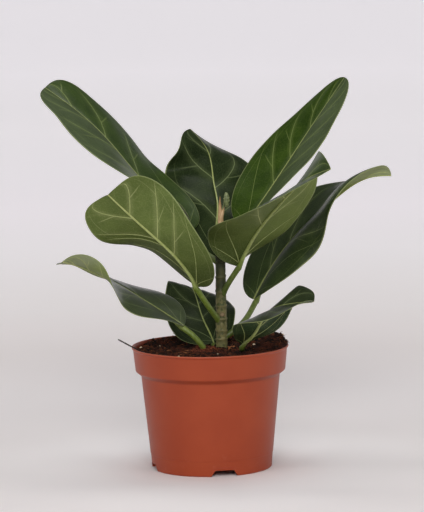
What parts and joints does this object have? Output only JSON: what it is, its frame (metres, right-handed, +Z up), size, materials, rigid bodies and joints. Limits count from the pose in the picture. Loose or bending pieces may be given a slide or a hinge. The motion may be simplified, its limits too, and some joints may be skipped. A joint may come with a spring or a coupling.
{
  "type": "potted indian banyan",
  "caption": "Young banyan fig with broad veined leaves on an upright stem, standing in compost in a round plastic nursery pot.",
  "frame": {"origin": "middle of the whole object's box, on the ground under the pot", "axes": "+Z up along the stem and the pot's axis, -Y the front seen in the picture, +X to the right of it"},
  "size_m": [0.2746, 0.2172, 0.3012],
  "materials": {
    "pot_plastic": "smooth terracotta-coloured plastic with a soft sheen",
    "compost": "dark crumbly compost with coir fibres",
    "bark": "young tan-green bark with ring scars",
    "leaf": "leathery dark green leaf with pale veins and a lighter underside",
    "sheath": "papery peach-pink bud sheath",
    "young_leaf": "pale green unopened leaf",
    "dark_bark": "dry dark bark"
  },
  "bodies": {
    "root": {"pot": "pot_plastic", "soil": "compost", "stem": "bark", "leaf_upper_left": "leaf", "leaf_upper_back": "leaf", "leaf_upper_right": "leaf", "leaf_middle_left": "leaf", "leaf_middle_right": "leaf", "leaf_far_right": "leaf", "leaf_lower_left": "leaf", "leaf_lower_back": "leaf", "leaf_lower_right": "leaf", "bud_sheath": "sheath", "young_leaf": "young_leaf", "bark_stick": "dark_bark"}
  },
  "joints": []
}
